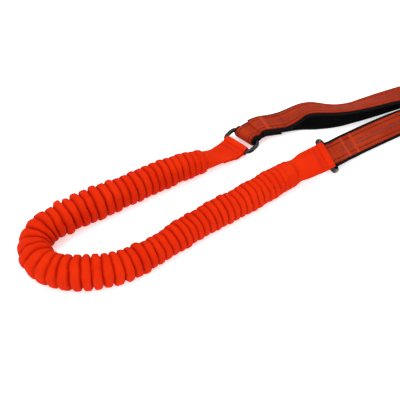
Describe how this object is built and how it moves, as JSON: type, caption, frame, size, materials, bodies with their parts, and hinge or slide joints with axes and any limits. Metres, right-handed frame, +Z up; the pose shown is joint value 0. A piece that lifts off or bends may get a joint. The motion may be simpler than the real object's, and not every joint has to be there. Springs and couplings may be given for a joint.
{
  "type": "shock absorbing lanyard",
  "caption": "Stretch lanyard: a gathered elastic sleeve bent in a U, with a ring at each end carrying a webbing strap and a double-action snap hook.",
  "frame": {"origin": "centre of the base of the bounding box, on the surface the lanyard lies on", "axes": "+X from the sleeve's bend towards the snap hooks, +Z up"},
  "size_m": [0.5597, 0.3413, 0.0332],
  "materials": {
    "orange_sleeve": "woven polyester, gathered",
    "elastic_rubber": "elastic cord",
    "safety_polyester": "woven polyester",
    "black_steel": "black finish",
    "black_webbing": "woven polyester",
    "tracer_webbing": "woven polyester",
    "forged_steel": "zinc plated forging",
    "plated_steel": "zinc plated pressing",
    "rivet_steel": "plain",
    "spring_steel": "spring wire"
  },
  "bodies": {
    "sleeve": {"gathered_sleeve": "orange_sleeve", "elastic_cord_inner": "elastic_rubber", "elastic_cord_outer": "elastic_rubber", "safety_webbing": "safety_polyester"},
    "end_a": {"sleeve_end_a": "orange_sleeve"},
    "ring_a": {"ring_a": "black_steel"},
    "strap_a": {"strap_a_webbing": "black_webbing", "strap_a_tracer": "tracer_webbing", "grab_handle_webbing": "black_webbing", "grab_handle_tracer": "tracer_webbing"},
    "hook_a": {"hook_body_a": "forged_steel", "gate_pin_a": "rivet_steel", "lever_pin_a": "rivet_steel", "gate_spring_a": "spring_steel", "lever_spring_a": "spring_steel"},
    "gate_a": {"gate_a": "plated_steel"},
    "lock_a": {"lock_lever_a": "plated_steel"},
    "end_b": {"sleeve_end_b": "orange_sleeve"},
    "ring_b": {"ring_b": "black_steel"},
    "strap_b": {"strap_b_webbing": "black_webbing", "strap_b_tracer": "tracer_webbing"},
    "hook_b": {"hook_body_b": "forged_steel", "gate_pin_b": "rivet_steel", "lever_pin_b": "rivet_steel", "gate_spring_b": "spring_steel", "lever_spring_b": "spring_steel"},
    "gate_b": {"gate_b": "plated_steel"},
    "lock_b": {"lock_lever_b": "plated_steel"}
  },
  "joints": [
    {"name": "stretch_a", "type": "slide", "parent": "sleeve", "child": "end_a", "axis": [0.853, 0.522, 0], "range_m": [0, 0.15], "stiffness_N_per_m": 120, "deforming": ["gathered_sleeve", "elastic_cord_inner", "elastic_cord_outer", "safety_webbing"]},
    {"name": "ring_turn_a", "type": "hinge", "parent": "end_a", "child": "ring_a", "pos_m": [-0.08472, 0.00288, 0.00658], "axis": [0.7176, -0.693, 0.0698], "range_deg": [-40, 60]},
    {"name": "strap_swing_a", "type": "hinge", "parent": "ring_a", "child": "strap_a", "pos_m": [-0.07368, 0.01452, 0.00882], "axis": [0.7176, -0.693, 0.0698], "range_deg": [-40, 60]},
    {"name": "hook_swing_a", "type": "hinge", "parent": "strap_a", "child": "hook_a", "pos_m": [0.163, 0.1088, 0.0082], "axis": [0.4226, -0.9063, 0], "range_deg": [-45, 60]},
    {"name": "gate_open_a", "type": "hinge", "parent": "hook_a", "child": "gate_a", "pos_m": [0.18969, 0.1367, 0.00707], "axis": [-0.0285, -0.0133, -0.9995], "range_deg": [0, 20], "stiffness_Nm_per_rad": 0.08},
    {"name": "lock_squeeze_a", "type": "hinge", "parent": "hook_a", "child": "lock_a", "pos_m": [0.20883, 0.10038, 0.00701], "axis": [0.0285, 0.0133, 0.9995], "range_deg": [0, 6], "stiffness_Nm_per_rad": 0.08},
    {"name": "stretch_b", "type": "slide", "parent": "sleeve", "child": "end_b", "axis": [0.853, 0.522, 0], "range_m": [0, 0.15], "stiffness_N_per_m": 120},
    {"name": "ring_turn_b", "type": "hinge", "parent": "end_b", "child": "ring_b", "pos_m": [-0.00218, -0.02683, 0.02314], "axis": [0.4744, -0.7447, -0.4695], "range_deg": [-20, 60]},
    {"name": "strap_swing_b", "type": "hinge", "parent": "ring_b", "child": "strap_b", "pos_m": [0.00438, -0.01617, 0.01286], "axis": [0.4744, -0.7447, -0.4695], "range_deg": [-60, 20]},
    {"name": "hook_swing_b", "type": "hinge", "parent": "strap_b", "child": "hook_b", "pos_m": [0.164, 0.0585, 0.0082], "axis": [0.0523, -0.9986, 0], "range_deg": [-45, 60]},
    {"name": "gate_open_b", "type": "hinge", "parent": "hook_b", "child": "gate_b", "pos_m": [0.1992, 0.07436, 0.00707], "axis": [-0.0314, -0.0016, -0.9995], "range_deg": [0, 20], "stiffness_Nm_per_rad": 0.08},
    {"name": "lock_squeeze_b", "type": "hinge", "parent": "hook_b", "child": "lock_b", "pos_m": [0.20334, 0.03352, 0.00701], "axis": [0.0314, 0.0016, 0.9995], "range_deg": [0, 6], "stiffness_Nm_per_rad": 0.08}
  ],
  "couplings": [
    {"joint": "stretch_b", "follows": "stretch_a", "ratio": 1}
  ]
}
